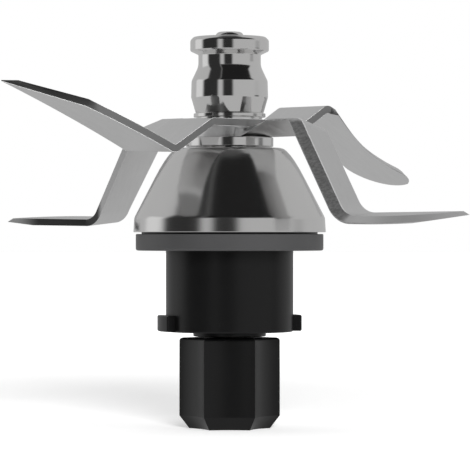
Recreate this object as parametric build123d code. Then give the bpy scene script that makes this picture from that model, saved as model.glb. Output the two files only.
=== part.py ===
from build123d import *
from math import cos, degrees, radians, sin, tan
import os

os.makedirs("parts", exist_ok=True)

# All sizes are in millimetres and degrees. The assembly stands on the coupling's lower face
# at height 0, its shaft runs up along Z. Radii are from that axis.

# Clearances
held_clearance = 0.02
running_clearance = 0.05
free_gap = 0.3

# Drive coupling
coupling_height = 21.25
coupling_corner_reach = 11.75
coupling_face_hollow = 1.0
coupling_foot_height = 3.0
coupling_foot_depth = 2.3
coupling_top_round = 0.7
coupling_boss_step = 0.4
coupling_well_radius = 5.2
coupling_well_depth = 4.0
coupling_web = 2.5

# Coupling screw and washer
screw_radius = 2.0
screw_length = 12.0
screw_head_radius = 3.6
screw_head_height = 2.2
screw_slot_width = 0.9
screw_slot_depth = 1.2
screw_slot_reach = 2.2
screw_washer_radius = 4.8
screw_washer_height = 0.6

# Spindle
shaft_radius = 4.0
shoulder_step = 0.35
foot_flat = 3.1
blade_flat = 3.2
stud_radius = 3.3
stud_rise = 1.2

# Bearing retainer, a ring nut with a nose
nose_radius = 8.5
nose_height = 1.05
retainer_height = 1.9
retainer_gap = 0.55
retainer_key_width = 1.6
retainer_key_depth = 0.9

# Ball bearings
bearing_radius = 11.0
bearing_width = 7.0
inner_race_wall = 2.05
outer_race_wall = 1.9
ball_radius = 1.98
ball_count = 7
cage_wall = 0.8
cage_height = 4.8
race_chamfer = 0.3
spacer_length = 20.5
inner_spacer_wall = 1.5
outer_spacer_wall = 1.4

# Bearing sleeve
sleeve_wall = 1.5
sleeve_ledge = 1.0
seal_step = 1.0

# Shaft seal and its spring
seal_height = 4.6
seal_wall = 1.2
seal_floor = 1.3
lip_wall = 1.1
lip_height = 3.9
spring_wire_radius = 0.45
spring_height = 2.9

# Housing
housing_wall = 2.4
housing_height = 18.96
ring_seat_step = 2.6
ring_cover = 3.1
flange_gap = 0.4
flange_height = 2.2
housing_edge_round = 0.4
lug_depth = 2.0
lug_lift = 0.15
lug_height = 3.75
lug_round = 0.4
lug_spread = 32.0

# Seal ring
ring_lip = 1.35
ring_height = 3.88
ring_round = 0.6

# Cone cover
cone_wall = 0.9
skirt_overhang = 0.55
skirt_height = 3.4
skirt_round = 1.2
cone_shoulder = 1.4
cone_top_round = 1.8
cone_hole_radius = 9.4

# Blade collar
collar_radius = 10.25
collar_height = 2.2
collar_chamfer = 0.3
spigot_step = 0.05

# Clamp washer
washer_radius = 8.4
washer_height = 0.9
washer_foot_radius = 7.6
washer_foot_height = 0.6

# Cap nut
nut_foot_radius = 7.9
nut_taper_height = 3.8
nut_bulb_radius = 9.0
nut_bulb_height = 3.8
nut_flare_height = 3.4
nut_neck_radius = 7.3
nut_neck_height = 2.7
nut_flange_slope = 0.9
nut_flange_radius = 9.2
nut_flange_height = 2.5
nut_crown_height = 0.8

# Both blades
hub_radius = 8.5
hub_overlap = 2.0
land = 0.28

# Upper blade
upper_stock = 1.75
upper_azimuth = 45.0
upper_bend_radius = 2.2
upper_bevel = 2.4
droop_trailing = 7.2
droop_leading = 8.2
droop_first_fold = 17.5
droop_rise = 29.5
droop_crest = 24.9
droop_fall = 28.0
droop_reach = 57.2
droop_end_run = 7.4
droop_end_spread = 0.9
droop_end_bow = 0.9
droop_end_lead = -2.6
droop_corner_run = 0.5
droop_corner_lead = 5.6
droop_tip_run = 1.9
droop_tip_lead = 7.2
droop_shoulder_run = 4.4
droop_shoulder_lead = 7.8
droop_waist_reach = 42.3
droop_waist_lead = 5.5
droop_lobe_reach = 34.0
droop_lobe_lead = 7.4
droop_heel_run = 0.8
droop_heel_lead = 10.2
lift_trailing = 7.9
lift_leading = 6.5
lift_first_fold = 14.4
lift_fall = 29.0
lift_valley = 25.9
lift_rise = 21.9
lift_ramp_pitch = 4.3
lift_reach = 63.4
lift_tip_flare = 0.8
lift_edge_reach = 44.0
lift_edge_hollow = 0.8
lift_bow_reach = 39.5
lift_bow_depth = 0.65
lift_corner_reach = 49.6
lift_corner_depth = 2.5

# Lower blade
lower_stock = 1.6
lower_pad = 0.75
lower_azimuth = 318.0
lower_twist_start = 8.0
lower_twist_end = 16.0
lower_fall = 59.3
lower_top_bend_radius = 2.2
lower_foot_bend_radius = 5.6
lower_bevel = 2.4
near_trailing = 4.7
near_leading = 5.1
near_twist = 18.4
near_crest = 24.65
near_taper = 0.0
near_drop = 21.2
near_slope = -2.9
near_pitch = -6.0
far_trailing = 7.6
far_leading = 3.7
far_twist = 21.0
far_crest = 23.85
far_taper = 2.0
far_drop = 23.25
far_slope = 4.45
far_pitch = 5.6
swept_tip_reach = 58.6
swept_tip_back = 16.7
swept_shoulder_reach = 50.5
swept_shoulder_depth = 1.5
swept_bow_reach = 56.8
swept_bow_depth = 11.0
swept_grind_run = 6.0
swept_grind_rise = 0.8

# Radii that follow from the shaft and the bearings
inner_race_radius = shaft_radius + inner_race_wall
outer_race_bore = bearing_radius - outer_race_wall
ball_circle = (inner_race_radius + outer_race_bore) / 2
inner_spacer_radius = shaft_radius + inner_spacer_wall
outer_spacer_bore = bearing_radius - outer_spacer_wall
shoulder_radius = inner_race_radius - shoulder_step
coupling_boss_radius = shoulder_radius - coupling_boss_step
retainer_bore = inner_race_radius + retainer_gap
sleeve_radius = bearing_radius + sleeve_wall
sleeve_ledge_bore = outer_race_bore + held_clearance
seal_radius = bearing_radius - seal_step
spigot_radius = inner_race_radius - spigot_step
housing_radius = sleeve_radius + housing_wall
ring_seat_radius = housing_radius + ring_seat_step
flange_radius = ring_seat_radius + ring_cover
ring_radius = flange_radius + ring_lip
skirt_radius = ring_radius + skirt_overhang
lug_reach = housing_radius + lug_depth
cone_top_radius = sleeve_radius + cone_shoulder

# Heights up the shaft
housing_bottom = coupling_height + free_gap + nose_height
lower_bearing_bottom = housing_bottom + retainer_height
lower_bearing_top = lower_bearing_bottom + bearing_width
upper_bearing_bottom = lower_bearing_top + spacer_length
upper_bearing_top = upper_bearing_bottom + bearing_width
seal_bottom = upper_bearing_top + sleeve_ledge
sleeve_top = seal_bottom + seal_height
cone_top = sleeve_top + cone_wall
collar_bottom = cone_top + free_gap
lower_blade_bottom = collar_bottom + collar_height
upper_blade_bottom = lower_blade_bottom + lower_stock + lower_pad
washer_bottom = upper_blade_bottom + upper_stock
nut_bottom = washer_bottom + washer_foot_height + washer_height
ring_seat_bottom = housing_bottom + housing_height
flange_bottom = ring_seat_bottom + ring_height
skirt_bottom = flange_bottom + flange_gap
flange_top = skirt_bottom + flange_height
foot_bottom = coupling_well_depth + coupling_web


def turned(*corners):
    # solid of revolution; each corner is radius, height and, where it is rounded, a rounding
    spots = [Vector(corner[0], 0, corner[1]) for corner in corners]
    section = Face(Wire.make_polygon(spots, close=True))
    for corner, spot in zip(corners, spots):
        if len(corner) == 3:
            vertex = section.vertices().sort_by_distance(spot)[0]
            section = section.fillet_2d(corner[2], [vertex])
    return revolve(section, Axis.Z)


def tube(inner, outer, bottom, top):
    return turned((inner, bottom), (outer, bottom), (outer, top), (inner, top))


def flatted(radius, flats, bottom, top):
    # round bar with flats at the given signed distances along X
    bar = Pos(0, 0, bottom) * Cylinder(radius, top - bottom, align=(Align.CENTER, Align.CENTER, Align.MIN))
    for flat in flats:
        middle = flat + radius if flat > 0 else flat - radius
        block = Box(2 * radius, 4 * radius, 3 * (top - bottom))
        bar = bar - Pos(middle, 0, (bottom + top) / 2) * block
    return bar


# Drive coupling: six hollow faces, chamfered foot, boss on top that meets the spindle's shoulder
def coupling_outline(reach, height):
    edges = []
    for index in range(6):
        first = radians(60 * index)
        last = radians(60 * (index + 1))
        middle = (first + last) / 2
        depth = reach * cos(radians(30)) - coupling_face_hollow
        start = (reach * cos(first), reach * sin(first), height)
        through = (depth * cos(middle), depth * sin(middle), height)
        end = (reach * cos(last), reach * sin(last), height)
        edges.append(ThreePointArc(start, through, end).edge())
    return Face(Wire(edges))


coupling_foot_reach = coupling_corner_reach - coupling_foot_depth
foot_face = coupling_outline(coupling_foot_reach, 0)
shoulder_face = coupling_outline(coupling_corner_reach, coupling_foot_height)
coupling_prism = extrude(shoulder_face, coupling_height - coupling_foot_height, dir=(0, 0, 1))
coupling_foot = loft([foot_face, shoulder_face], ruled=True)
coupling_top_edges = coupling_prism.faces().sort_by(Axis.Z)[-1].edges()
coupling_prism = fillet(coupling_top_edges, coupling_top_round)
drive_coupling = coupling_prism + coupling_foot
drive_coupling += tube(0.1, coupling_boss_radius, coupling_height - 1, housing_bottom)
drive_coupling -= flatted(shaft_radius + held_clearance, [foot_flat + held_clearance], foot_bottom, housing_bottom + 1)
drive_coupling -= Cylinder(screw_radius + held_clearance, 4 * foot_bottom)
drive_coupling -= Cylinder(coupling_well_radius, 2 * coupling_well_depth)

# Coupling screw and washer in the well
screw_washer_bottom = coupling_well_depth - screw_washer_height
screw_head_bottom = screw_washer_bottom - screw_head_height
coupling_washer = tube(screw_radius + held_clearance, screw_washer_radius, screw_washer_bottom, coupling_well_depth)
coupling_screw = turned(
    (0, screw_head_bottom),
    (screw_head_radius, screw_head_bottom, 0.8),
    (screw_head_radius, screw_washer_bottom),
    (screw_radius, screw_washer_bottom),
    (screw_radius, screw_washer_bottom + screw_length, 0.5),
    (0, screw_washer_bottom + screw_length),
)
for slot_turn in (0, 90):
    slot = Box(2 * screw_slot_reach, screw_slot_width, 2 * screw_slot_depth)
    coupling_screw -= Rot(0, 0, slot_turn) * Pos(0, 0, screw_head_bottom) * slot

# Spindle: D-shaped foot, shoulder, bearing journal, blade flats and domed stud
stud_top = nut_bottom + nut_taper_height + nut_bulb_height + nut_flare_height
stud_top += nut_neck_height + nut_flange_slope + nut_flange_height + nut_crown_height + stud_rise
spindle = flatted(shaft_radius, [foot_flat], foot_bottom, housing_bottom)
spindle += turned(
    (0, housing_bottom),
    (shoulder_radius, housing_bottom),
    (shoulder_radius, lower_bearing_bottom),
    (shaft_radius, lower_bearing_bottom),
    (shaft_radius, lower_blade_bottom),
    (0, lower_blade_bottom),
)
spindle += flatted(shaft_radius, [blade_flat, -blade_flat], lower_blade_bottom, nut_bottom)
spindle += turned((0, nut_bottom), (stud_radius - 0.1, nut_bottom), (stud_radius - 0.1, nut_bottom + 1), (0, nut_bottom + 1))
spindle += turned((0, nut_bottom), (blade_flat - 0.1, nut_bottom), (stud_radius, nut_bottom + 0.6), (stud_radius, stud_top, 1.1), (0, stud_top))
screw_depth = screw_washer_bottom + screw_length + 1 - foot_bottom
spindle -= Pos(0, 0, foot_bottom) * Cylinder(screw_radius + held_clearance, 2 * screw_depth)

# Bearing retainer: ring nut with four key slots under its rim
bearing_retainer = turned(
    (retainer_bore, housing_bottom - nose_height),
    (nose_radius, housing_bottom - nose_height, 0.2),
    (nose_radius, housing_bottom),
    (sleeve_radius - held_clearance, housing_bottom),
    (sleeve_radius - held_clearance, lower_bearing_bottom),
    (retainer_bore, lower_bearing_bottom),
)
for key_turn in range(0, 360, 90):
    key = Box(2, retainer_key_width, 2 * retainer_key_depth)
    bearing_retainer -= Rot(0, 0, key_turn + 45) * Pos(nose_radius + 2, 0, housing_bottom) * key

# Ball bearings
groove_radius = ball_radius + running_clearance
cage_inner = ball_circle - cage_wall
cage_outer = ball_circle + cage_wall


def bearing_at(bottom):
    middle = bottom + bearing_width / 2
    groove = Pos(0, 0, middle) * Torus(ball_circle, groove_radius)
    top = bottom + bearing_width
    inner = tube(shaft_radius + held_clearance, inner_race_radius, bottom, top) - groove
    outer = turned(
        (outer_race_bore, bottom),
        (bearing_radius - held_clearance - race_chamfer, bottom),
        (bearing_radius - held_clearance, bottom + race_chamfer),
        (bearing_radius - held_clearance, top - race_chamfer),
        (bearing_radius - held_clearance - race_chamfer, top),
        (outer_race_bore, top),
    )
    outer = outer - groove
    cage = tube(cage_inner, cage_outer, middle - cage_height / 2, middle + cage_height / 2)
    balls = []
    for index in range(ball_count):
        place = Rot(0, 0, index * 360 / ball_count) * Pos(ball_circle, 0, middle)
        cage = cage - place * Rot(0, 90, 0) * Cylinder(ball_radius + held_clearance, 4 * cage_wall)
        balls.append(place * Sphere(ball_radius))
    return inner, outer, cage, Compound(children=balls)


lower_inner_race, lower_outer_race, lower_cage, lower_balls = bearing_at(lower_bearing_bottom)
upper_inner_race, upper_outer_race, upper_cage, upper_balls = bearing_at(upper_bearing_bottom)
inner_spacer = tube(shaft_radius + held_clearance, inner_spacer_radius, lower_bearing_top, upper_bearing_bottom)
outer_spacer = tube(outer_spacer_bore, bearing_radius - held_clearance, lower_bearing_top, upper_bearing_bottom)

# Bearing sleeve: bearing bore, ledge over the upper bearing, seal pocket
bearing_sleeve = turned(
    (bearing_radius, lower_bearing_bottom),
    (sleeve_radius - held_clearance, lower_bearing_bottom),
    (sleeve_radius - held_clearance, sleeve_top),
    (seal_radius, sleeve_top),
    (seal_radius, seal_bottom),
    (sleeve_ledge_bore, seal_bottom),
    (sleeve_ledge_bore, upper_bearing_top),
    (bearing_radius, upper_bearing_top),
)

# Shaft seal: outer wall, floor and sprung lip on the collar's spigot
lip_radius = spigot_radius + running_clearance
spring_circle = lip_radius + lip_wall + spring_wire_radius / 2
spring_middle = seal_bottom + spring_height
shaft_seal = turned(
    (lip_radius + 0.3, seal_bottom),
    (seal_radius - held_clearance, seal_bottom),
    (seal_radius - held_clearance, sleeve_top),
    (seal_radius - seal_wall, sleeve_top),
    (seal_radius - seal_wall, seal_bottom + seal_floor),
    (lip_radius + lip_wall, seal_bottom + seal_floor),
    (lip_radius + lip_wall, seal_bottom + lip_height),
    (lip_radius + 0.3, seal_bottom + lip_height),
    (lip_radius, spring_middle),
)
shaft_seal -= Pos(0, 0, spring_middle) * Torus(spring_circle, spring_wire_radius)
garter_spring = Pos(0, 0, spring_middle) * Torus(spring_circle, spring_wire_radius)

# Housing: barrel, seal ring seat, flange inside the cone's skirt, two bayonet lugs
skirt_bore = skirt_radius - cone_wall
bearing_housing = turned(
    (sleeve_radius, housing_bottom),
    (housing_radius, housing_bottom, housing_edge_round),
    (housing_radius, ring_seat_bottom),
    (ring_seat_radius, ring_seat_bottom),
    (ring_seat_radius, flange_bottom),
    (flange_radius, flange_bottom),
    (flange_radius, skirt_bottom + flange_gap),
    (skirt_bore - held_clearance, skirt_bottom + flange_gap),
    (skirt_bore - held_clearance, flange_top),
    (sleeve_radius, flange_top),
)
lug_bottom = housing_bottom + lug_lift
lug_section = Face(
    Wire.make_polygon(
        [
            Vector(housing_radius - 1, 0, lug_bottom),
            Vector(lug_reach, 0, lug_bottom),
            Vector(lug_reach, 0, lug_bottom + lug_height),
            Vector(housing_radius - 1, 0, lug_bottom + lug_height),
        ],
        close=True,
    )
)
for lug_turn in (0, 180):
    lug = revolve(lug_section, Axis.Z, lug_spread)
    lug_edges = lug.faces().filter_by(GeomType.CYLINDER).sort_by(SortBy.AREA)[-1].edges()
    lug = fillet(lug_edges, lug_round)
    bearing_housing += Rot(0, 0, lug_turn) * lug

# Seal ring on its seat under the flange
seal_ring = turned(
    (ring_seat_radius + held_clearance, ring_seat_bottom),
    (ring_radius, ring_seat_bottom, ring_round),
    (ring_radius, flange_bottom, 0.25),
    (ring_seat_radius + held_clearance, flange_bottom),
)

# Cone cover: pressed skirt, cone and flat top
cone_rise = cone_top - skirt_bottom - skirt_height
cone_run = skirt_radius - cone_top_radius
cone_inset = cone_wall * (cone_run**2 + cone_rise**2) ** 0.5 / cone_rise
skirt_top = skirt_bottom + skirt_height
inner_top_radius = cone_top_radius - cone_inset + cone_wall * cone_run / cone_rise
inner_skirt_top = skirt_top + (skirt_bore - (skirt_radius - cone_inset)) * -cone_rise / cone_run
cone_cover = turned(
    (skirt_bore, skirt_bottom),
    (skirt_radius, skirt_bottom, 0.2),
    (skirt_radius, skirt_top, skirt_round),
    (cone_top_radius, cone_top, cone_top_round),
    (cone_hole_radius, cone_top, 0.3),
    (cone_hole_radius, sleeve_top),
    (inner_top_radius, sleeve_top, cone_top_round - cone_wall),
    (skirt_bore, inner_skirt_top),
)

# Blade collar with its spigot down to the upper bearing
blade_collar = turned(
    (shaft_radius + held_clearance, upper_bearing_top),
    (spigot_radius, upper_bearing_top),
    (spigot_radius, collar_bottom),
    (collar_radius, collar_bottom, 0.25),
    (collar_radius, lower_blade_bottom - collar_chamfer),
    (collar_radius - collar_chamfer, lower_blade_bottom),
    (shaft_radius + held_clearance, lower_blade_bottom),
)

# Clamp washer with a recessed foot
clamp_washer = turned(
    (shaft_radius + held_clearance, washer_bottom),
    (washer_foot_radius, washer_bottom),
    (washer_foot_radius, washer_bottom + washer_foot_height),
    (washer_radius, washer_bottom + washer_foot_height, 0.2),
    (washer_radius, nut_bottom, 0.2),
    (shaft_radius + held_clearance, nut_bottom),
)

# Cap nut: taper, bulb, neck and flange
bulb_bottom = nut_bottom + nut_taper_height
bulb_top = bulb_bottom + nut_bulb_height
neck_bottom = bulb_top + nut_flare_height
neck_top = neck_bottom + nut_neck_height
nut_flange_bottom = neck_top + nut_flange_slope
nut_flange_top = nut_flange_bottom + nut_flange_height
nut_top = nut_flange_top + nut_crown_height
cap_nut = turned(
    (stud_radius + held_clearance, nut_bottom),
    (nut_foot_radius, nut_bottom, 0.2),
    (nut_bulb_radius, bulb_bottom, 1.5),
    (nut_bulb_radius, bulb_top, 1.2),
    (nut_neck_radius, neck_bottom, 1.5),
    (nut_neck_radius, neck_top, 0.3),
    (nut_flange_radius, nut_flange_bottom, 0.3),
    (nut_flange_radius, nut_flange_top, 0.5),
    (nut_flange_radius - nut_crown_height, nut_top, 0.4),
    (stud_radius + held_clearance, nut_top),
)


# Blades. A wing is a strip that runs out along X with its leading side at -Y. Lead is the
# distance toward the leading side, reach the distance out from the shaft, both in plan.
class Plate:
    # flat stretch through a point of the middle surface at lead 0, falling or rising outward
    # by its slope and rising toward its leading side by its pitch
    def __init__(self, reach, height, slope, pitch):
        self.point = Vector(reach, 0, height)
        self.slope = slope
        self.outward = Vector(1, 0, tan(radians(slope)))
        self.sideward = Vector(0, -1, tan(radians(pitch)))
        self.normal = self.sideward.cross(self.outward).normalized()

    def spot(self, reach, lead, lift):
        moved = self.point + self.outward * (reach - self.point.X)
        return moved + self.sideward * lead + self.normal * lift


class Fold:
    # bend between two plates through the outer plate's point, with the strip's section corners
    # given as lead and lift
    def __init__(self, inner, outer, radius, corners):
        line = inner.normal.cross(outer.normal).normalized()
        self.line = line * -1 if line.Y > 0 else line
        turn = radians(inner.normal.get_angle(outer.normal))
        setback = radius * tan(turn / 2)
        self.start = outer.point - inner.normal.cross(self.line) * setback
        self.end = outer.point + outer.normal.cross(self.line) * setback
        self.steps = [(-lead - self.start.Y) / self.line.Y for lead, lift in corners]
        self.lifts = [lift for lead, lift in corners]
        self.leads = [-(self.end.Y + self.line.Y * step) for step in self.steps]
        self.first = self.section(self.start, inner.normal)
        self.last = self.section(self.end, outer.normal)
        rising = outer.slope > inner.slope
        centre = self.start + inner.normal * (radius if rising else -radius)
        axis = Axis(centre, self.line if rising else self.line * -1)
        self.solid = revolve(self.first, axis, degrees(turn))
        self.corners = list(zip(self.leads, self.lifts))

    def section(self, origin, normal):
        spots = [origin + self.line * step + normal * lift for step, lift in zip(self.steps, self.lifts)]
        return Face(Wire.make_polygon(spots, close=True))

    def edge_spot(self, index, normal, lift):
        return self.end + self.line * self.steps[index] + normal * lift


def strip_corners(trailing, leading, stock, bevel):
    # trailing low and high, bevel start, land top, leading low
    half = stock / 2
    return [(-trailing, -half), (-trailing, half), (leading - bevel, half), (leading, land - half), (leading, -half)]


def plate_section(plate, reach, corners):
    return Face(Wire.make_polygon([plate.spot(reach, lead, lift) for lead, lift in corners], close=True))


def outlined_wing(plate, fold, stock, outline):
    # wing plate from the last fold out, its leading edge drawn in over the land as a bevel
    half = stock / 2
    low = Face(Wire(outline(plate, fold, -half, False)))
    edge = Face(Wire(outline(plate, fold, land - half, False)))
    high = Face(Wire(outline(plate, fold, half, True)))
    return loft([low, edge], ruled=True) + loft([edge, high], ruled=True)


# Upper blade, drooping wing: rises to a crest, then falls away with a lobed leading edge
def droop_outline(plate, fold, lift, bevelled):
    inset = upper_bevel if bevelled else 0
    trail_start = fold.edge_spot(0, plate.normal, lift)
    lead_start = fold.edge_spot(3, plate.normal, lift)
    end_start = plate.spot(droop_reach - droop_end_run, -droop_trailing - droop_end_spread, lift)
    end_middle = plate.spot(droop_reach - droop_end_bow - inset / 6, droop_end_lead, lift)
    end_corner = plate.spot(droop_reach - droop_corner_run - inset / 2, droop_corner_lead - inset / 4, lift)
    tip_middle = plate.spot(droop_reach - droop_tip_run - inset / 2, droop_tip_lead - inset * 0.7, lift)
    tip_end = plate.spot(droop_reach - droop_shoulder_run - inset / 4, droop_shoulder_lead - inset, lift)
    waist = plate.spot(droop_waist_reach, droop_waist_lead - inset, lift)
    lobe = plate.spot(droop_lobe_reach, droop_lobe_lead - inset, lift)
    heel = plate.spot(fold.end.X + droop_heel_run, droop_heel_lead - inset * 0.75, lift)
    return [
        Line(trail_start, end_start).edge(),
        ThreePointArc(end_start, end_middle, end_corner).edge(),
        ThreePointArc(end_corner, tip_middle, tip_end).edge(),
        Spline(tip_end, waist, lobe, heel).edge(),
        Line(heel, lead_start).edge(),
        Line(lead_start, trail_start).edge(),
    ]


droop_corners = strip_corners(droop_trailing, droop_leading, upper_stock, 0)
droop_crest_height = (droop_crest - droop_first_fold) * tan(radians(droop_rise))
droop_root = Plate(0, 0, 0, 0)
droop_ramp = Plate(droop_first_fold, 0, droop_rise, 0)
droop_wing = Plate(droop_crest, droop_crest_height, -droop_fall, 0)
droop_low_fold = Fold(droop_root, droop_ramp, upper_bend_radius, droop_corners)
droop_crest_fold = Fold(droop_ramp, droop_wing, upper_bend_radius, droop_low_fold.corners)
droop = loft([plate_section(droop_root, hub_overlap, droop_corners), droop_low_fold.first], ruled=True)
droop += droop_low_fold.solid
droop += loft([droop_low_fold.last, droop_crest_fold.first], ruled=True)
droop += droop_crest_fold.solid
droop += outlined_wing(droop_wing, droop_crest_fold, upper_stock, droop_outline)


# Upper blade, lifted wing: falls to a valley, then rises to a swept tip
def lift_outline(plate, fold, lift, bevelled):
    inset = upper_bevel if bevelled else 0
    trail_start = fold.edge_spot(0, plate.normal, lift)
    lead_start = fold.edge_spot(2 if bevelled else 3, plate.normal, lift)
    trail_middle = plate.spot(lift_bow_reach, lift_bow_depth - lift_trailing, lift)
    corner = plate.spot(lift_corner_reach, lift_corner_depth - lift_trailing, lift)
    tip = plate.spot(lift_reach - inset, lift_tip_flare + lift_leading - inset, lift)
    edge_middle = plate.spot(lift_edge_reach, lift_leading - lift_edge_hollow - inset, lift)
    return [
        ThreePointArc(trail_start, trail_middle, corner).edge(),
        Line(corner, tip).edge(),
        ThreePointArc(tip, edge_middle, lead_start).edge(),
        Line(lead_start, trail_start).edge(),
    ]


lift_corners = strip_corners(lift_trailing, lift_leading, upper_stock, upper_bevel)
lift_valley_height = -(lift_valley - lift_first_fold) * tan(radians(lift_fall))
lift_root = Plate(0, 0, 0, 0)
lift_ramp = Plate(lift_first_fold, 0, -lift_fall, lift_ramp_pitch)
lift_wing = Plate(lift_valley, lift_valley_height, lift_rise, 0)
lift_top_fold = Fold(lift_root, lift_ramp, upper_bend_radius, lift_corners)
lift_valley_fold = Fold(lift_ramp, lift_wing, upper_bend_radius, lift_top_fold.corners)
lifted = loft([plate_section(lift_root, hub_overlap, lift_corners), lift_top_fold.first], ruled=True)
lifted += lift_top_fold.solid
lifted += loft([lift_top_fold.last, lift_valley_fold.first], ruled=True)
lifted += lift_valley_fold.solid
lifted += outlined_wing(lift_wing, lift_valley_fold, upper_stock, lift_outline)

upper_middle = upper_blade_bottom + upper_stock / 2
upper_blade = Pos(0, 0, upper_middle) * Cylinder(hub_radius, upper_stock)
upper_blade += Pos(0, 0, upper_middle) * Rot(0, 0, upper_azimuth) * droop
upper_blade += Pos(0, 0, upper_middle) * Rot(0, 0, upper_azimuth + 180) * lifted
upper_top = upper_blade_bottom + upper_stock
hub_flats = [blade_flat + held_clearance, -blade_flat - held_clearance]
upper_blade -= flatted(shaft_radius + held_clearance, hub_flats, upper_blade_bottom - 1, upper_top + 1)


# Lower blade: both wings turn down along the cone and run out flat, swept back
def swept_outline(plate, fold, lift, bevelled):
    inset = lower_bevel if bevelled else 0
    trail_start = fold.edge_spot(0, plate.normal, lift)
    lead_start = fold.edge_spot(2 if bevelled else 3, plate.normal, lift)
    tip = plate.spot(swept_tip_reach - inset * 0.7, inset * 0.5 - swept_tip_back, lift)
    start_lead = -lead_start.Y
    shoulder_lead = start_lead - swept_shoulder_depth - inset * 0.1
    bow_lead = start_lead - swept_bow_depth - inset * 0.2
    shoulder = plate.spot(swept_shoulder_reach - inset * 0.3, shoulder_lead, lift)
    bow = plate.spot(swept_bow_reach - inset * 0.6, bow_lead, lift)
    return [
        Line(trail_start, tip).edge(),
        Bezier(tip, bow, shoulder, lead_start).edge(),
        Line(lead_start, trail_start).edge(),
    ]


def tip_grind(plate, stock):
    # wedge taken off the underside towards the tip
    ends = []
    for side in (-2 * swept_tip_back, lower_bevel * 2):
        heel = plate.spot(swept_tip_reach - swept_grind_run, side, -stock / 2)
        nose = plate.spot(swept_tip_reach, side, swept_grind_rise - stock / 2)
        below = plate.spot(swept_tip_reach, side, -stock)
        ends.append(Face(Wire.make_polygon([heel, nose, below], close=True)))
    return loft(ends, ruled=True)


def lower_wing(trailing, leading, twist, crest_reach, taper, drop, slope, pitch):
    # the arm twists about its level trailing edge while its ground edge runs in
    plain = strip_corners(trailing, leading, lower_stock, 0)
    bevelled = strip_corners(trailing, leading, lower_stock, lower_bevel)
    arm_rise = trailing * tan(radians(twist))
    foot_reach = crest_reach + drop / tan(radians(lower_fall))
    root = Plate(0, 0, 0, 0)
    arm = Plate(crest_reach, arm_rise, 0, twist)
    leg = Plate(crest_reach, arm_rise, -lower_fall, 0)
    wing = Plate(foot_reach, arm_rise - drop, slope, pitch)
    crest = Fold(arm, leg, lower_top_bend_radius, bevelled)
    foot_corners = [(lead - taper if lead > 0 else lead, lift) for lead, lift in crest.corners]
    foot = Fold(leg, wing, lower_foot_bend_radius, foot_corners)
    twist_start = plate_section(root, lower_twist_start, plain)
    twist_end = plate_section(arm, lower_twist_end, bevelled)
    solid = loft([plate_section(root, hub_overlap, plain), twist_start], ruled=True)
    solid += loft([twist_start, twist_end], ruled=True)
    solid += loft([twist_end, crest.first], ruled=True)
    solid += crest.solid
    solid += loft([crest.last, foot.first], ruled=True)
    solid += foot.solid
    solid += outlined_wing(wing, foot, lower_stock, swept_outline)
    return solid - tip_grind(wing, lower_stock)


lower_middle = lower_blade_bottom + lower_stock / 2
near_arm = (near_trailing, near_leading, near_twist, near_crest, near_taper)
far_arm = (far_trailing, far_leading, far_twist, far_crest, far_taper)
near_wing = lower_wing(*near_arm, near_drop, near_slope, near_pitch)
far_wing = lower_wing(*far_arm, far_drop, far_slope, far_pitch)
lower_hub_height = lower_stock + lower_pad
lower_blade = Pos(0, 0, lower_blade_bottom + lower_hub_height / 2) * Cylinder(hub_radius, lower_hub_height)
lower_blade += Pos(0, 0, lower_middle) * Rot(0, 0, lower_azimuth) * near_wing
lower_blade += Pos(0, 0, lower_middle) * Rot(0, 0, lower_azimuth + 180) * far_wing
lower_blade -= flatted(shaft_radius + held_clearance, hub_flats, lower_blade_bottom - 1, upper_blade_bottom + 1)

pieces = {
    "drive_coupling": drive_coupling,
    "coupling_screw": coupling_screw,
    "coupling_washer": coupling_washer,
    "spindle": spindle,
    "bearing_retainer": bearing_retainer,
    "lower_inner_race": lower_inner_race,
    "lower_outer_race": lower_outer_race,
    "lower_cage": lower_cage,
    "lower_balls": lower_balls,
    "upper_inner_race": upper_inner_race,
    "upper_outer_race": upper_outer_race,
    "upper_cage": upper_cage,
    "upper_balls": upper_balls,
    "inner_spacer": inner_spacer,
    "outer_spacer": outer_spacer,
    "bearing_sleeve": bearing_sleeve,
    "shaft_seal": shaft_seal,
    "garter_spring": garter_spring,
    "bearing_housing": bearing_housing,
    "seal_ring": seal_ring,
    "cone_cover": cone_cover,
    "blade_collar": blade_collar,
    "lower_blade": lower_blade,
    "upper_blade": upper_blade,
    "clamp_washer": clamp_washer,
    "cap_nut": cap_nut,
}
for name, piece in pieces.items():
    piece.label = name
    export_step(piece, "parts/" + name + ".step")
    print(name, len(piece.solids()), round(piece.volume, 1))
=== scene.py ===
import math

import bmesh
import bpy
import numpy as np
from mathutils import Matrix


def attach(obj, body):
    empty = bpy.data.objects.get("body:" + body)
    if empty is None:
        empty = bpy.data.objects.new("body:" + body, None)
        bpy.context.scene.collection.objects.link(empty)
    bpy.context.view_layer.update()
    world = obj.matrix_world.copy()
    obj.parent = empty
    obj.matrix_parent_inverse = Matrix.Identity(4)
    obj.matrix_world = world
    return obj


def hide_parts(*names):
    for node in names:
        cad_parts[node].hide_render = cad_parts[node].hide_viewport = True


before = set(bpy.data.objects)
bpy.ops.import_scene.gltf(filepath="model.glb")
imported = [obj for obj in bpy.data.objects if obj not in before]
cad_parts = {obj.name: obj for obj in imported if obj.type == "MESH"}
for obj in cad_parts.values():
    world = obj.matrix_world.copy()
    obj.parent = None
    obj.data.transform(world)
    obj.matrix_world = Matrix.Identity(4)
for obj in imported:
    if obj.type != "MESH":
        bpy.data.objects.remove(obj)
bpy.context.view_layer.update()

# Knife assembly of a jug blender: satin knives, polished cone and nut, black moulded drive end.
# Metres, Z up, the shaft on the Z axis, the viewer of the photograph at -Y.

mm = 0.001


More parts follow.
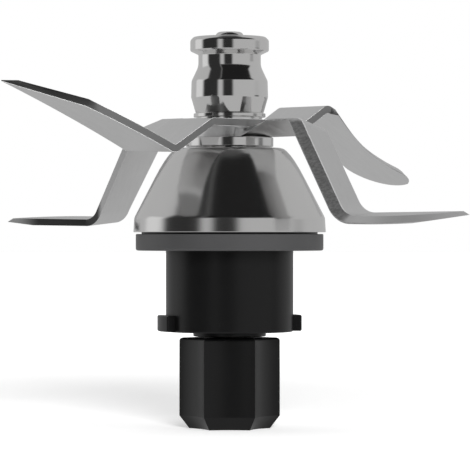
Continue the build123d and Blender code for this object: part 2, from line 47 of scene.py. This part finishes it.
def finishMaterial(name):
    # a new material with a Principled shader joined to its output
    material = bpy.data.materials.new(name)
    material.use_nodes = True
    tree = material.node_tree
    tree.nodes.clear()
    output = tree.nodes.new("ShaderNodeOutputMaterial")
    shader = tree.nodes.new("ShaderNodeBsdfPrincipled")
    tree.links.new(shader.outputs["BSDF"], output.inputs["Surface"])
    return material, tree, shader


def mathNode(tree, operation, first, second=None, third=None, clamp=False):
    # one Math node; each input is a number or a socket
    node = tree.nodes.new("ShaderNodeMath")
    node.operation = operation
    node.use_clamp = clamp
    for index, value in enumerate((first, second, third)):
        if value is None:
            continue
        if isinstance(value, (int, float)):
            node.inputs[index].default_value = value
        else:
            tree.links.new(value, node.inputs[index])
    return node.outputs[0]


def mixColour(tree, factor, first, second):
    # first where the factor is 0, second where it is 1; each colour is a tuple or a socket
    node = tree.nodes.new("ShaderNodeMix")
    node.data_type = "RGBA"
    for socket, value in ((node.inputs[0], factor), (node.inputs[6], first), (node.inputs[7], second)):
        if isinstance(value, tuple):
            socket.default_value = value
        else:
            tree.links.new(value, socket)
    return node.outputs[2]


grainNoise = {"scale": 900.0, "detail": 3.0, "roughness": 0.6}


def makeFineGrain():
    # shared effect: noise stretched along an axis; puts out a grain from 0 to 1
    group = bpy.data.node_groups.new("fineGrain", "ShaderNodeTree")
    for name, kind, value in (
        ("Vector", "NodeSocketVector", None),
        ("Scale", "NodeSocketFloat", grainNoise["scale"]),
        ("Stretch", "NodeSocketVector", (1, 1, 1)),
    ):
        socket = group.interface.new_socket(name, in_out="INPUT", socket_type=kind)
        if value is not None:
            socket.default_value = value
    group.interface.new_socket("Grain", in_out="OUTPUT", socket_type="NodeSocketFloat")
    entry = group.nodes.new("NodeGroupInput")
    leave = group.nodes.new("NodeGroupOutput")
    stretch = group.nodes.new("ShaderNodeVectorMath")
    stretch.operation = "MULTIPLY"
    group.links.new(entry.outputs["Vector"], stretch.inputs[0])
    group.links.new(entry.outputs["Stretch"], stretch.inputs[1])
    noise = group.nodes.new("ShaderNodeTexNoise")
    noise.inputs["Detail"].default_value = grainNoise["detail"]
    noise.inputs["Roughness"].default_value = grainNoise["roughness"]
    group.links.new(stretch.outputs[0], noise.inputs["Vector"])
    group.links.new(entry.outputs["Scale"], noise.inputs["Scale"])
    group.links.new(noise.outputs["Fac"], leave.inputs["Grain"])
    return group


fineGrain = makeFineGrain()


def addGrain(tree, coordinates, scale, stretch):
    node = tree.nodes.new("ShaderNodeGroup")
    node.node_tree = fineGrain
    node.inputs["Scale"].default_value = scale
    node.inputs["Stretch"].default_value = stretch
    tree.links.new(coordinates, node.inputs["Vector"])
    return node.outputs["Grain"]


def addBump(tree, shader, height, strength, distance):
    bump = tree.nodes.new("ShaderNodeBump")
    bump.inputs["Strength"].default_value = strength
    bump.inputs["Distance"].default_value = distance
    tree.links.new(height, bump.inputs["Height"])
    tree.links.new(bump.outputs["Normal"], shader.inputs["Normal"])


def objectPlace(tree):
    return tree.nodes.new("ShaderNodeTexCoord").outputs["Object"]


def without(tree, value, mask):
    # the value where the mask is 0, nothing where it is 1
    return mathNode(tree, "MULTIPLY", value, mathNode(tree, "SUBTRACT", 1.0, mask))


def smoothStep(tree, value, start, end):
    # 0 below start, 1 above end, smooth between
    node = tree.nodes.new("ShaderNodeMapRange")
    node.interpolation_type = "SMOOTHSTEP"
    node.inputs["From Min"].default_value = start
    node.inputs["From Max"].default_value = end
    tree.links.new(value, node.inputs["Value"])
    return node.outputs["Result"]


def turnedPlace(tree, azimuth):
    # object place turned so that X runs out along the knife
    node = tree.nodes.new("ShaderNodeMapping")
    node.inputs["Rotation"].default_value = (0, 0, -math.radians(azimuth))
    tree.links.new(objectPlace(tree), node.inputs["Vector"])
    return node.outputs["Vector"]


# Polished steel of the nut, washer, collar and cone; each colour channel is a share of the shade
polished = {
    "nutShade": 0.80, "nutRoughness": 0.11, "coneShade": 0.78, "coneRoughness": 0.18,
    "smear": 0.05, "cloud": 0.06, "channels": (1.0, 0.994, 0.988),
    "lineScale": 2600.0, "lineStretch": (0.02, 0.02, 1.0),
    "smearScale": 60.0, "smearStretch": (1.0, 1.0, 0.25),
    "bump": 0.05, "bumpDepth": 0.00002,
}


def makePolishedSteel(name, colour, roughness):
    # fine turned lines in the bump, and a slow smear in the roughness and the shade
    material, tree, shader = finishMaterial(name)
    place = objectPlace(tree)
    lines = addGrain(tree, place, polished["lineScale"], polished["lineStretch"])
    smear = addGrain(tree, place, polished["smearScale"], polished["smearStretch"])
    rough = mathNode(tree, "MULTIPLY_ADD", smear, polished["smear"], roughness - polished["smear"] / 2)
    shade = mathNode(tree, "MULTIPLY_ADD", smear, polished["cloud"], colour - polished["cloud"] / 2)
    tint = tree.nodes.new("ShaderNodeCombineColor")
    for index, share in enumerate(polished["channels"]):
        tree.links.new(mathNode(tree, "MULTIPLY", shade, share), tint.inputs[index])
    tree.links.new(tint.outputs[0], shader.inputs["Base Color"])
    tree.links.new(rough, shader.inputs["Roughness"])
    shader.inputs["Metallic"].default_value = 1.0
    addBump(tree, shader, lines, polished["bump"], polished["bumpDepth"])
    return material


# Satin steel of the knives: fine grain along each knife, cross ground edges, sheared ends; painted shade on
# the upright sheared faces and the second wing's end, painted highlight on the bevels and the ridge.
# Along is the way out on the wing that lies at the knife's azimuth, and is below 0 on the other
# wing; reach is along without its sign; lead is the way toward each wing's leading side.
satin = {
    "shade": 0.80, "grainTone": 0.10, "cloudTone": 0.06, "roughness": 0.33, "roughSpread": 0.09,
    "groundRoughness": 0.22, "groundTone": 0.4, "groundSpread": 1.1, "paintedRidgeHighlight": 0.7, "paintedEdgeHighlight": 0.2,
    "edgeMetal": -0.6, "bump": 0.10, "bumpDepth": 0.00003,
    "grainScale": 900.0, "grainStretch": (0.06, 1.0, 0.4), "cloudScale": 60.0,
    "scratchScale": 2600.0, "scratchStretch": (1.0, 0.05, 1.0), "groundFade": 0.25 * mm,
    "groundFacing": (0.1, 0.3), "uprightFacing": (0.30, 0.44), "ridgeFade": (0.10 * mm, 0.40 * mm),
}
upperKnife = {
    "azimuth": 45.0,
    "grindLead": 0.0046, "grindStart": 0.026, "grindEnd": 0.060, "groundEnd": 0.042,
    "paintedShearShade": -0.5, "shearEnd": 0.033, "paintedEndShade": -0.45, "endStart": 0.0475, "pointStart": 0.057,
    "lightEnd": 0.022,
    "thinFrom": 0.060, "thinAbove": 0.0795, "thinDrop": 0.00076,
}
lowerKnife = {
    "azimuth": 318.0,
    "grindLead": 0.0029, "grindStart": 0.015, "grindEnd": 0.038, "groundEnd": 0.060,
    "paintedShearShade": -0.05, "shearEnd": 0.033, "paintedEndShade": -0.88, "endStart": 0.036, "pointStart": 0.054,
    "lightEnd": 0.050,
}


def stepAt(tree, value, middle, half):
    return smoothStep(tree, value, middle - half, middle + half)


def makeSatinSteel(name, knife):
    material, tree, shader = finishMaterial(name)
    place = turnedPlace(tree, knife["azimuth"])
    grain = addGrain(tree, place, satin["grainScale"], satin["grainStretch"])
    cloud = addGrain(tree, place, satin["cloudScale"], (1, 1, 1))
    scratches = addGrain(tree, place, satin["scratchScale"], satin["scratchStretch"])
    parts = tree.nodes.new("ShaderNodeSeparateXYZ")
    tree.links.new(place, parts.inputs[0])
    along = parts.outputs["X"]
    reach = mathNode(tree, "ABSOLUTE", along)
    side = mathNode(tree, "SIGN", along)
    lead = mathNode(tree, "MULTIPLY", mathNode(tree, "MULTIPLY", side, parts.outputs["Y"]), -1.0)
    facing = tree.nodes.new("ShaderNodeSeparateXYZ")
    tree.links.new(tree.nodes.new("ShaderNodeTexCoord").outputs["Normal"], facing.inputs[0])
    upward = facing.outputs["Z"]

    # the band ground along the leading side, on faces that look up
    ground = smoothStep(tree, lead, knife["grindLead"], knife["grindLead"] + satin["groundFade"])
    ground = mathNode(tree, "MULTIPLY", ground, stepAt(tree, reach, knife["grindStart"], mm))
    ground = without(tree, ground, stepAt(tree, reach, knife["grindEnd"], mm))
    ground = without(tree, ground, stepAt(tree, along, knife["groundEnd"], 2 * mm))
    ground = mathNode(tree, "MULTIPLY", ground, smoothStep(tree, upward, *satin["groundFacing"]))

    # sheared faces stand nearly upright and get painted shade; those of the second wing's end get more
    # painted shade than the rest
    upright = mathNode(tree, "ABSOLUTE", upward)
    uprightShadeMask = mathNode(tree, "SUBTRACT", 1.0, smoothStep(tree, upright, *satin["uprightFacing"]))
    uprightShadeMask = without(tree, uprightShadeMask, stepAt(tree, along, knife["shearEnd"], 3 * mm))
    endShadeMask = mathNode(tree, "MULTIPLY", uprightShadeMask, stepAt(tree, reach, knife["endStart"], mm))
    endShadeMask = mathNode(tree, "MULTIPLY", endShadeMask, mathNode(tree, "LESS_THAN", along, 0.0))
    endShadeMask = without(tree, endShadeMask, stepAt(tree, reach, knife["pointStart"], 3 * mm))

    # painted highlight: the ridge where the ground band starts is lightened as much as the bevelled edges
    fadeStart, fadeEnd = satin["ridgeFade"]
    past = smoothStep(tree, lead, knife["grindLead"] + fadeStart, knife["grindLead"] + fadeEnd)
    ridge = without(tree, ground, past)
    ground = mathNode(tree, "SUBTRACT", ground, ridge)
    highlightedBevels = tree.nodes.new("ShaderNodeAttribute")
    highlightedBevels.attribute_name = "paintedEdgeHighlight"
    edge = mathNode(tree, "MULTIPLY", ridge, satin["paintedRidgeHighlight"])
    edge = mathNode(tree, "MAXIMUM", highlightedBevels.outputs["Fac"], edge)
    uprightShadeMask = without(tree, uprightShadeMask, edge)
    endShadeMask = without(tree, endShadeMask, edge)

    lowest = satin["shade"] - satin["grainTone"] / 2
    shade = mathNode(tree, "MULTIPLY_ADD", grain, satin["grainTone"], lowest)
    clouded = mathNode(tree, "SUBTRACT", cloud, 0.5)
    shade = mathNode(tree, "MULTIPLY_ADD", clouded, satin["cloudTone"], shade)
    scratched = mathNode(tree, "MULTIPLY_ADD", scratches, satin["groundSpread"], satin["groundTone"])
    tone = mathNode(tree, "MULTIPLY_ADD", ground, mathNode(tree, "SUBTRACT", scratched, 1.0), 1.0)
    # painted shade: the upright sheared faces and the second wing's end are darkened
    for mask, change in ((uprightShadeMask, knife["paintedShearShade"]), (endShadeMask, knife["paintedEndShade"])):
        tone = mathNode(tree, "MULTIPLY", tone, mathNode(tree, "MULTIPLY_ADD", mask, change, 1.0))
    shade = mathNode(tree, "MULTIPLY", shade, tone)
    # painted highlight: the marked bevels and the ridge are lightened
    shade = mathNode(tree, "MULTIPLY_ADD", edge, satin["paintedEdgeHighlight"], shade, clamp=True)
    tint = tree.nodes.new("ShaderNodeCombineColor")
    for index in range(3):
        tree.links.new(shade, tint.inputs[index])
    tree.links.new(tint.outputs[0], shader.inputs["Base Color"])
    rough = mathNode(tree, "MULTIPLY_ADD", grain, satin["roughSpread"], satin["roughness"])
    rough = mathNode(tree, "MULTIPLY_ADD", ground, satin["groundRoughness"], rough)
    tree.links.new(rough, shader.inputs["Roughness"])
    metal = mathNode(tree, "MULTIPLY_ADD", edge, satin["edgeMetal"], 1.0)
    tree.links.new(metal, shader.inputs["Metallic"])
    addBump(tree, shader, grain, satin["bump"], satin["bumpDepth"])
    return material


# Moulded and ground surfaces
plain = {"cloudScale": 70.0, "cloudTone": 0.3, "cloudRough": 0.1, "bumpDepth": 0.00005}


def makePlain(name, colour, roughness, grainScale, strength, metallic=0.0, specular=0.5):
    # one colour a little clouded, fine grain in its bump
    material, tree, shader = finishMaterial(name)
    place = objectPlace(tree)
    grain = addGrain(tree, place, grainScale, (1, 1, 1))
    cloud = addGrain(tree, place, plain["cloudScale"], (1, 1, 1))
    tone = mathNode(tree, "MULTIPLY_ADD", cloud, plain["cloudTone"], 1.0 - plain["cloudTone"] / 2)
    tint = tree.nodes.new("ShaderNodeCombineColor")
    for index in range(3):
        tree.links.new(mathNode(tree, "MULTIPLY", tone, colour[index]), tint.inputs[index])
    tree.links.new(tint.outputs[0], shader.inputs["Base Color"])
    rough = mathNode(tree, "MULTIPLY_ADD", cloud, plain["cloudRough"], roughness - plain["cloudRough"] / 2)
    tree.links.new(rough, shader.inputs["Roughness"])
    shader.inputs["Metallic"].default_value = metallic
    shader.inputs["Specular IOR Level"].default_value = specular
    addBump(tree, shader, grain, strength, plain["bumpDepth"])
    return material


print("materials")
polishedSteel = makePolishedSteel("polishedSteel", polished["nutShade"], polished["nutRoughness"])
coneSteel = makePolishedSteel("coneSteel", polished["coneShade"], polished["coneRoughness"])
upperSteel = makeSatinSteel("upperKnifeSteel", upperKnife)
lowerSteel = makeSatinSteel("lowerKnifeSteel", lowerKnife)
greySilicone = makePlain("greySilicone", (0.040, 0.040, 0.041), 0.42, 1500.0, 0.15)
blackMoulding = makePlain("blackMoulding", (0.0032, 0.0032, 0.0033), 0.34, 2500.0, 0.1, specular=0.3)
bearingSteel = makePlain("bearingSteel", (0.6, 0.6, 0.6), 0.25, 2500.0, 0.05, 1.0)
lipRubber = makePlain("lipRubber", (0.02, 0.02, 0.02), 0.5, 1500.0, 0.15)
cageNylon = makePlain("cageNylon", (0.4, 0.33, 0.2), 0.45, 1500.0, 0.1)

nodeFinishes = {
    "cap_nut": polishedSteel, "spindle": polishedSteel, "clamp_washer": polishedSteel,
    "blade_collar": polishedSteel, "cone_cover": coneSteel, "upper_blade": upperSteel,
    "lower_blade": lowerSteel, "seal_ring": greySilicone, "bearing_housing": blackMoulding,
    "drive_coupling": blackMoulding, "bearing_retainer": blackMoulding, "shaft_seal": lipRubber,
    "upper_cage": cageNylon, "lower_cage": cageNylon,
}
for nodeName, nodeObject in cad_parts.items():
    finish = nodeFinishes.get(nodeName, bearingSteel)
    nodeObject.data.materials.clear()
    nodeObject.data.materials.append(finish)


# Turned pieces: a profile of corners carried once round the shaft
turning = {"segments": 240, "cornerSteps": 6, "hold": 0.04}


def roundedProfile(corners):
    # closed profile of (radius, height, before, after) in mm: each corner is a quadratic curve from
    # "before" mm short of it to "after" mm past it, P = (1-t)^2 A + 2t(1-t) C + t^2 B, with a close
    # point outside both ends so that the flats stay flat
    spots = np.array([corner[:2] for corner in corners], float)
    trims = np.array([corner[2:4] for corner in corners], float)
    steps = np.linspace(0, 1, turning["cornerSteps"] + 1)[:, None]
    rings = []
    for index in range(len(corners)):
        spot = spots[index]
        back = spots[index - 1] - spot
        ahead = spots[(index + 1) % len(corners)] - spot
        back = back / np.linalg.norm(back)
        ahead = ahead / np.linalg.norm(ahead)
        start = spot + back * trims[index, 0]
        end = spot + ahead * trims[index, 1]
        rings.append([start + back * turning["hold"]])
        rings.append((1 - steps) ** 2 * start + 2 * steps * (1 - steps) * spot + steps ** 2 * end)
        rings.append([end + ahead * turning["hold"]])
    return np.vstack(rings) * mm


def turnedShell(name, corners, node, finish, body):
    # x = r cos a, y = r sin a, z = h for each profile point (r, h) and each turn a
    profile = roundedProfile(corners)
    count = len(profile)
    turns = np.linspace(0, 2 * np.pi, turning["segments"], endpoint=False)
    points = np.empty((turning["segments"], count, 3))
    points[:, :, 0] = np.cos(turns)[:, None] * profile[:, 0]
    points[:, :, 1] = np.sin(turns)[:, None] * profile[:, 0]
    points[:, :, 2] = profile[:, 1]
    rows = np.arange(turning["segments"])[:, None]
    columns = np.arange(count)[None, :]
    nextRows = (rows + 1) % turning["segments"]
    nextColumns = (columns + 1) % count
    corner1 = rows * count + columns
    corner2 = nextRows * count + columns
    corner3 = nextRows * count + nextColumns
    corner4 = rows * count + nextColumns
    faces = np.stack([corner1, corner2, corner3, corner4], axis=-1).reshape(-1, 4)
    mesh = bpy.data.meshes.new(name)
    mesh.from_pydata(points.reshape(-1, 3).tolist(), [], faces.tolist())
    mesh.shade_smooth()
    mesh.materials.append(finish)
    piece = bpy.data.objects.new(name, mesh)
    bpy.context.collection.objects.link(piece)
    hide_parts(node)
    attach(piece, body)
    return piece


def evenCorners(piece):
    # (radius, height above base, trim) rows to corners with the same trim on both sides
    return [(radius, piece["base"] + height, trim, trim) for radius, height, trim in piece["rows"]]


capNut = {
    "base": 73.6,
    "rows": [
        (3.4, 0, 0.02), (7.9, 0, 0.15), (9.0, 3.8, 0.25), (8.9, 7.6, 0.3), (7.3, 11.0, 0.9),
        (7.3, 13.7, 0.2), (9.2, 14.6, 0.35), (9.2, 17.1, 0.4), (8.4, 17.9, 0.3), (3.4, 17.9, 0.02),
    ],
}
clampWasher = {
    "base": 72.1,
    "rows": [
        (4.1, 0, 0.02), (7.6, 0, 0.05), (7.6, 0.6, 0.05),
        (8.4, 0.6, 0.15), (8.4, 1.5, 0.15), (4.1, 1.5, 0.02),
    ],
}
bladeCollar = {
    "base": 59.0,
    "rows": [
        (4.1, 0, 0.02), (6.0, 0, 0.2), (6.0, 6.8, 0.05),
        (10.25, 6.8, 0.25), (10.25, 9.0, 0.25), (4.1, 9.0, 0.02),
    ],
}
sealRing = {
    "base": 41.56,
    "rows": [(17.55, 0, 0.1), (21.95, 0, 0.6), (21.95, 3.88, 0.3), (17.55, 3.88, 0.1)],
}
coneCover = {
    "corners": [
        (21.6, 45.84, 0.1, 0.1), (22.5, 45.84, 0.2, 0.2), (22.3, 49.24, 0.4, 0.6), (13.9, 65.5, 8.0, 1.9),
        (9.4, 65.5, 0.2, 0.2), (9.4, 64.6, 0.1, 0.1), (13.36, 64.6, 0.6, 0.6), (21.6, 49.0, 0.2, 0.2),
    ],
}
print("turned pieces")
turnedShell("capNut", evenCorners(capNut), "cap_nut", polishedSteel, "rotor")
turnedShell("clampWasher", evenCorners(clampWasher), "clamp_washer", polishedSteel, "rotor")
turnedShell("bladeCollar", evenCorners(bladeCollar), "blade_collar", polishedSteel, "rotor")
turnedShell("sealRing", evenCorners(sealRing), "seal_ring", greySilicone, "housing_unit")
turnedShell("coneCover", coneCover["corners"], "cone_cover", coneSteel, "housing_unit")

# Knives: the solids with their edges broken
knifeEdge = {
    "width": 0.00024, "segments": 2, "crispAngle": 24.0, "flattest": 0.3,
    "mergeWithin": 0.000002, "joinAngle": 0.4, "weight": 80,
}


def alongKnife(place, azimuth):
    # x cos a + y sin a
    turn = math.radians(azimuth)
    return place.x * math.cos(turn) + place.y * math.sin(turn)


def crispEdges(shape):
    # edges between a broad face and a sheared one; corners of the outline, between two sheared
    # faces, stay as they are
    crisp = []
    for edge in shape.edges:
        flattest = max((abs(face.normal.z) for face in edge.link_faces), default=0.0)
        sharp = edge.calc_face_angle(0.0) > math.radians(knifeEdge["crispAngle"])
        if sharp and flattest > knifeEdge["flattest"]:
            crisp.append(edge)
    return crisp


def softenedKnife(name, node, finish, knife):
    # copy of a knife's solid, merged, its flats joined, a narrow bevel on every crisp edge
    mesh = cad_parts[node].data.copy()
    mesh.name = name
    shape = bmesh.new()
    shape.from_mesh(mesh)
    bmesh.ops.remove_doubles(shape, verts=shape.verts, dist=knifeEdge["mergeWithin"])
    if "thinDrop" in knife:
        for vertex in shape.verts:
            # the top corner at the rising wing's point is ground down
            outside = alongKnife(vertex.co, knife["azimuth"]) < -knife["thinFrom"]
            if outside and vertex.co.z > knife["thinAbove"]:
                vertex.co.z -= knife["thinDrop"]
    joinAngle = math.radians(knifeEdge["joinAngle"])
    bmesh.ops.dissolve_limit(shape, angle_limit=joinAngle, verts=shape.verts, edges=shape.edges)
    crisp = crispEdges(shape)
    light = shape.faces.layers.float.new("paintedEdgeHighlight")
    made = bmesh.ops.bevel(
        shape, geom=crisp, offset=knifeEdge["width"], offset_type="OFFSET", segments=knifeEdge["segments"],
        profile=0.5, affect="EDGES", clamp_overlap=True, material=-1,
    )
    # the new bevel faces short of lightEnd are marked for the painted edge highlight
    for face in made["faces"]:
        if alongKnife(face.calc_center_median(), knife["azimuth"]) < knife["lightEnd"]:
            face[light] = 1.0
    shape.to_mesh(mesh)
    shape.free()
    mesh.shade_smooth()
    mesh.materials.clear()
    mesh.materials.append(finish)
    piece = bpy.data.objects.new(name, mesh)
    bpy.context.collection.objects.link(piece)
    weighted = piece.modifiers.new("shading", "WEIGHTED_NORMAL")
    weighted.weight = knifeEdge["weight"]
    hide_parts(node)
    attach(piece, "rotor")
    return piece


print("knives")
softenedKnife("upperKnife", "upper_blade", upperSteel, upperKnife)
softenedKnife("lowerKnife", "lower_blade", lowerSteel, lowerKnife)

# Studio: a plain light wall all round, with a few panels and curtains hung in it, white behind
# the object. Azimuth is from the viewer and half is half the width, in degrees; low and high are
# sines of the height, and light is linear.
studio = {
    "wall": 0.5,
    "zenith": (0.08, 0.08, 0.08, 1.0),
    "zenithStart": (0.93, 0.99),
    "softTurn": 5.0,
    "softHeight": 0.04,
    "white": (1.0, 1.0, 1.0, 1.0),
}
panels = {
    "leftBox": {"azimuth": -105, "half": 15, "low": -0.2, "high": 0.4, "light": 0.75},
    "leftCurtain": {"azimuth": -60, "half": 25, "low": -0.2, "high": 2.0, "light": 0.03},
    "middleCurtain": {"azimuth": -5, "half": 15, "low": -0.2, "high": 0.4, "light": 0.03},
    "upperCurtain": {"azimuth": 25, "half": 60, "low": 0.4, "high": 2.0, "light": 0.015},
    "rightFlag": {"azimuth": 90, "half": 8, "low": -0.2, "high": 0.05, "light": 0.1},
}


def panelMask(tree, turn, up, panel):
    # 1 inside the panel's width and height, 0 outside, soft between
    mask = None
    for value, middle, half, soft in (
        (turn, math.radians(panel["azimuth"]), math.radians(panel["half"]), math.radians(studio["softTurn"])),
        (up, (panel["low"] + panel["high"]) / 2, (panel["high"] - panel["low"]) / 2, studio["softHeight"]),
    ):
        away = mathNode(tree, "ABSOLUTE", mathNode(tree, "SUBTRACT", value, middle))
        inside = mathNode(tree, "SUBTRACT", 1.0, smoothStep(tree, away, half - soft, half + soft))
        mask = inside if mask is None else mathNode(tree, "MULTIPLY", mask, inside)
    return mask


print("studio")
world = bpy.data.worlds.new("studio")
bpy.context.scene.world = world
world.use_nodes = True
tree = world.node_tree
tree.nodes.clear()
output = tree.nodes.new("ShaderNodeOutputWorld")
direction = tree.nodes.new("ShaderNodeSeparateXYZ")
tree.links.new(tree.nodes.new("ShaderNodeTexCoord").outputs["Generated"], direction.inputs[0])
towardViewer = mathNode(tree, "MULTIPLY", direction.outputs["Y"], -1.0)
turn = mathNode(tree, "ARCTAN2", direction.outputs["X"], towardViewer)
up = direction.outputs["Z"]
room = (studio["wall"],) * 3 + (1.0,)
for panel in panels.values():
    room = mixColour(tree, panelMask(tree, turn, up, panel), room, (panel["light"],) * 3 + (1.0,))
room = mixColour(tree, smoothStep(tree, up, *studio["zenithStart"]), room, studio["zenith"])
rays = tree.nodes.new("ShaderNodeLightPath")
clear = mathNode(tree, "MAXIMUM", rays.outputs["Is Camera Ray"], rays.outputs["Is Transmission Ray"])
shown = mixColour(tree, clear, room, studio["white"])
background = tree.nodes.new("ShaderNodeBackground")
tree.links.new(shown, background.inputs["Color"])
tree.links.new(background.outputs[0], output.inputs["Surface"])

# Floor: white, keeps the shadow; its own glow grows outward, so that it stays white far off
floorPaper = {
    "halfSide": 6.0, "shade": 0.8, "nearGlow": 0.385, "farGlow": 1.0, "fadeStart": 0.12, "fadeEnd": 0.58,
}
floorMesh = bpy.data.meshes.new("studioFloor")
reach = floorPaper["halfSide"]
floorCorners = [(-reach, -reach, 0), (reach, -reach, 0), (reach, reach, 0), (-reach, reach, 0)]
floorMesh.from_pydata(floorCorners, [], [(0, 1, 2, 3)])
floor = bpy.data.objects.new("studioFloor", floorMesh)
bpy.context.collection.objects.link(floor)
floorMaterial, tree, shader = finishMaterial("floorPaper")
shader.inputs["Base Color"].default_value = (floorPaper["shade"],) * 3 + (1,)
shader.inputs["Roughness"].default_value = 1.0
shader.inputs["Specular IOR Level"].default_value = 0.0
shader.inputs["Emission Color"].default_value = studio["white"]
distance = tree.nodes.new("ShaderNodeVectorMath")
distance.operation = "LENGTH"
tree.links.new(objectPlace(tree), distance.inputs[0])
fade = smoothStep(tree, distance.outputs["Value"], floorPaper["fadeStart"], floorPaper["fadeEnd"])
growth = floorPaper["farGlow"] - floorPaper["nearGlow"]
glow = mathNode(tree, "MULTIPLY_ADD", fade, growth, floorPaper["nearGlow"])
tree.links.new(glow, shader.inputs["Emission Strength"])
floorMesh.materials.append(floorMaterial)
floor.visible_glossy = False

# Lamps: they light the floor and the dull finishes, and the steel shows the room instead
lampTarget = (0, 0, 0.05)
lamps = {
    "key": {"place": (0.13, -0.85, 0.33), "size": 0.3, "power": 10.0},
    "fill": {"place": (0.7, -0.4, 0.6), "size": 0.6, "power": 1.0},
    "top": {"place": (-0.1, 0.15, 0.9), "size": 0.7, "power": 1.5},
}


def addLamp(name, place, size, power):
    data = bpy.data.lights.new(name, "AREA")
    data.shape = "DISK"
    data.size = size
    data.energy = power
    lamp = bpy.data.objects.new(name, data)
    bpy.context.collection.objects.link(lamp)
    lamp.location = place
    aim = np.array(lampTarget) - np.array(place)
    flat = math.hypot(aim[0], aim[1])
    lamp.rotation_euler = (math.atan2(flat, -aim[2]), 0, math.atan2(aim[1], aim[0]) - math.pi / 2)
    return lamp


for lampName, settings in lamps.items():
    addLamp(lampName, settings["place"], settings["size"], settings["power"]).visible_glossy = False

# Camera: level with the cone's skirt, far enough for a nearly flat view
view = {
    "distance": 0.6786, "side": 0.001264, "height": 0.0455,
    "sensor": 36.0, "focalPixels": 2900.0, "frame": 470.0, "drop": 1.3,
}
cameraData = bpy.data.cameras.new("photoCamera")
cameraData.sensor_width = view["sensor"]
cameraData.lens = view["sensor"] * view["focalPixels"] / view["frame"]
cameraData.shift_y = -view["drop"] / view["frame"]
camera = bpy.data.objects.new("photoCamera", cameraData)
bpy.context.collection.objects.link(camera)
camera.location = (view["side"], -view["distance"], view["height"])
camera.rotation_euler = (math.radians(90), 0, 0)
bpy.context.scene.camera = camera

bpy.context.scene.view_settings.view_transform = "Standard"

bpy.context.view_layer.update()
print("done")
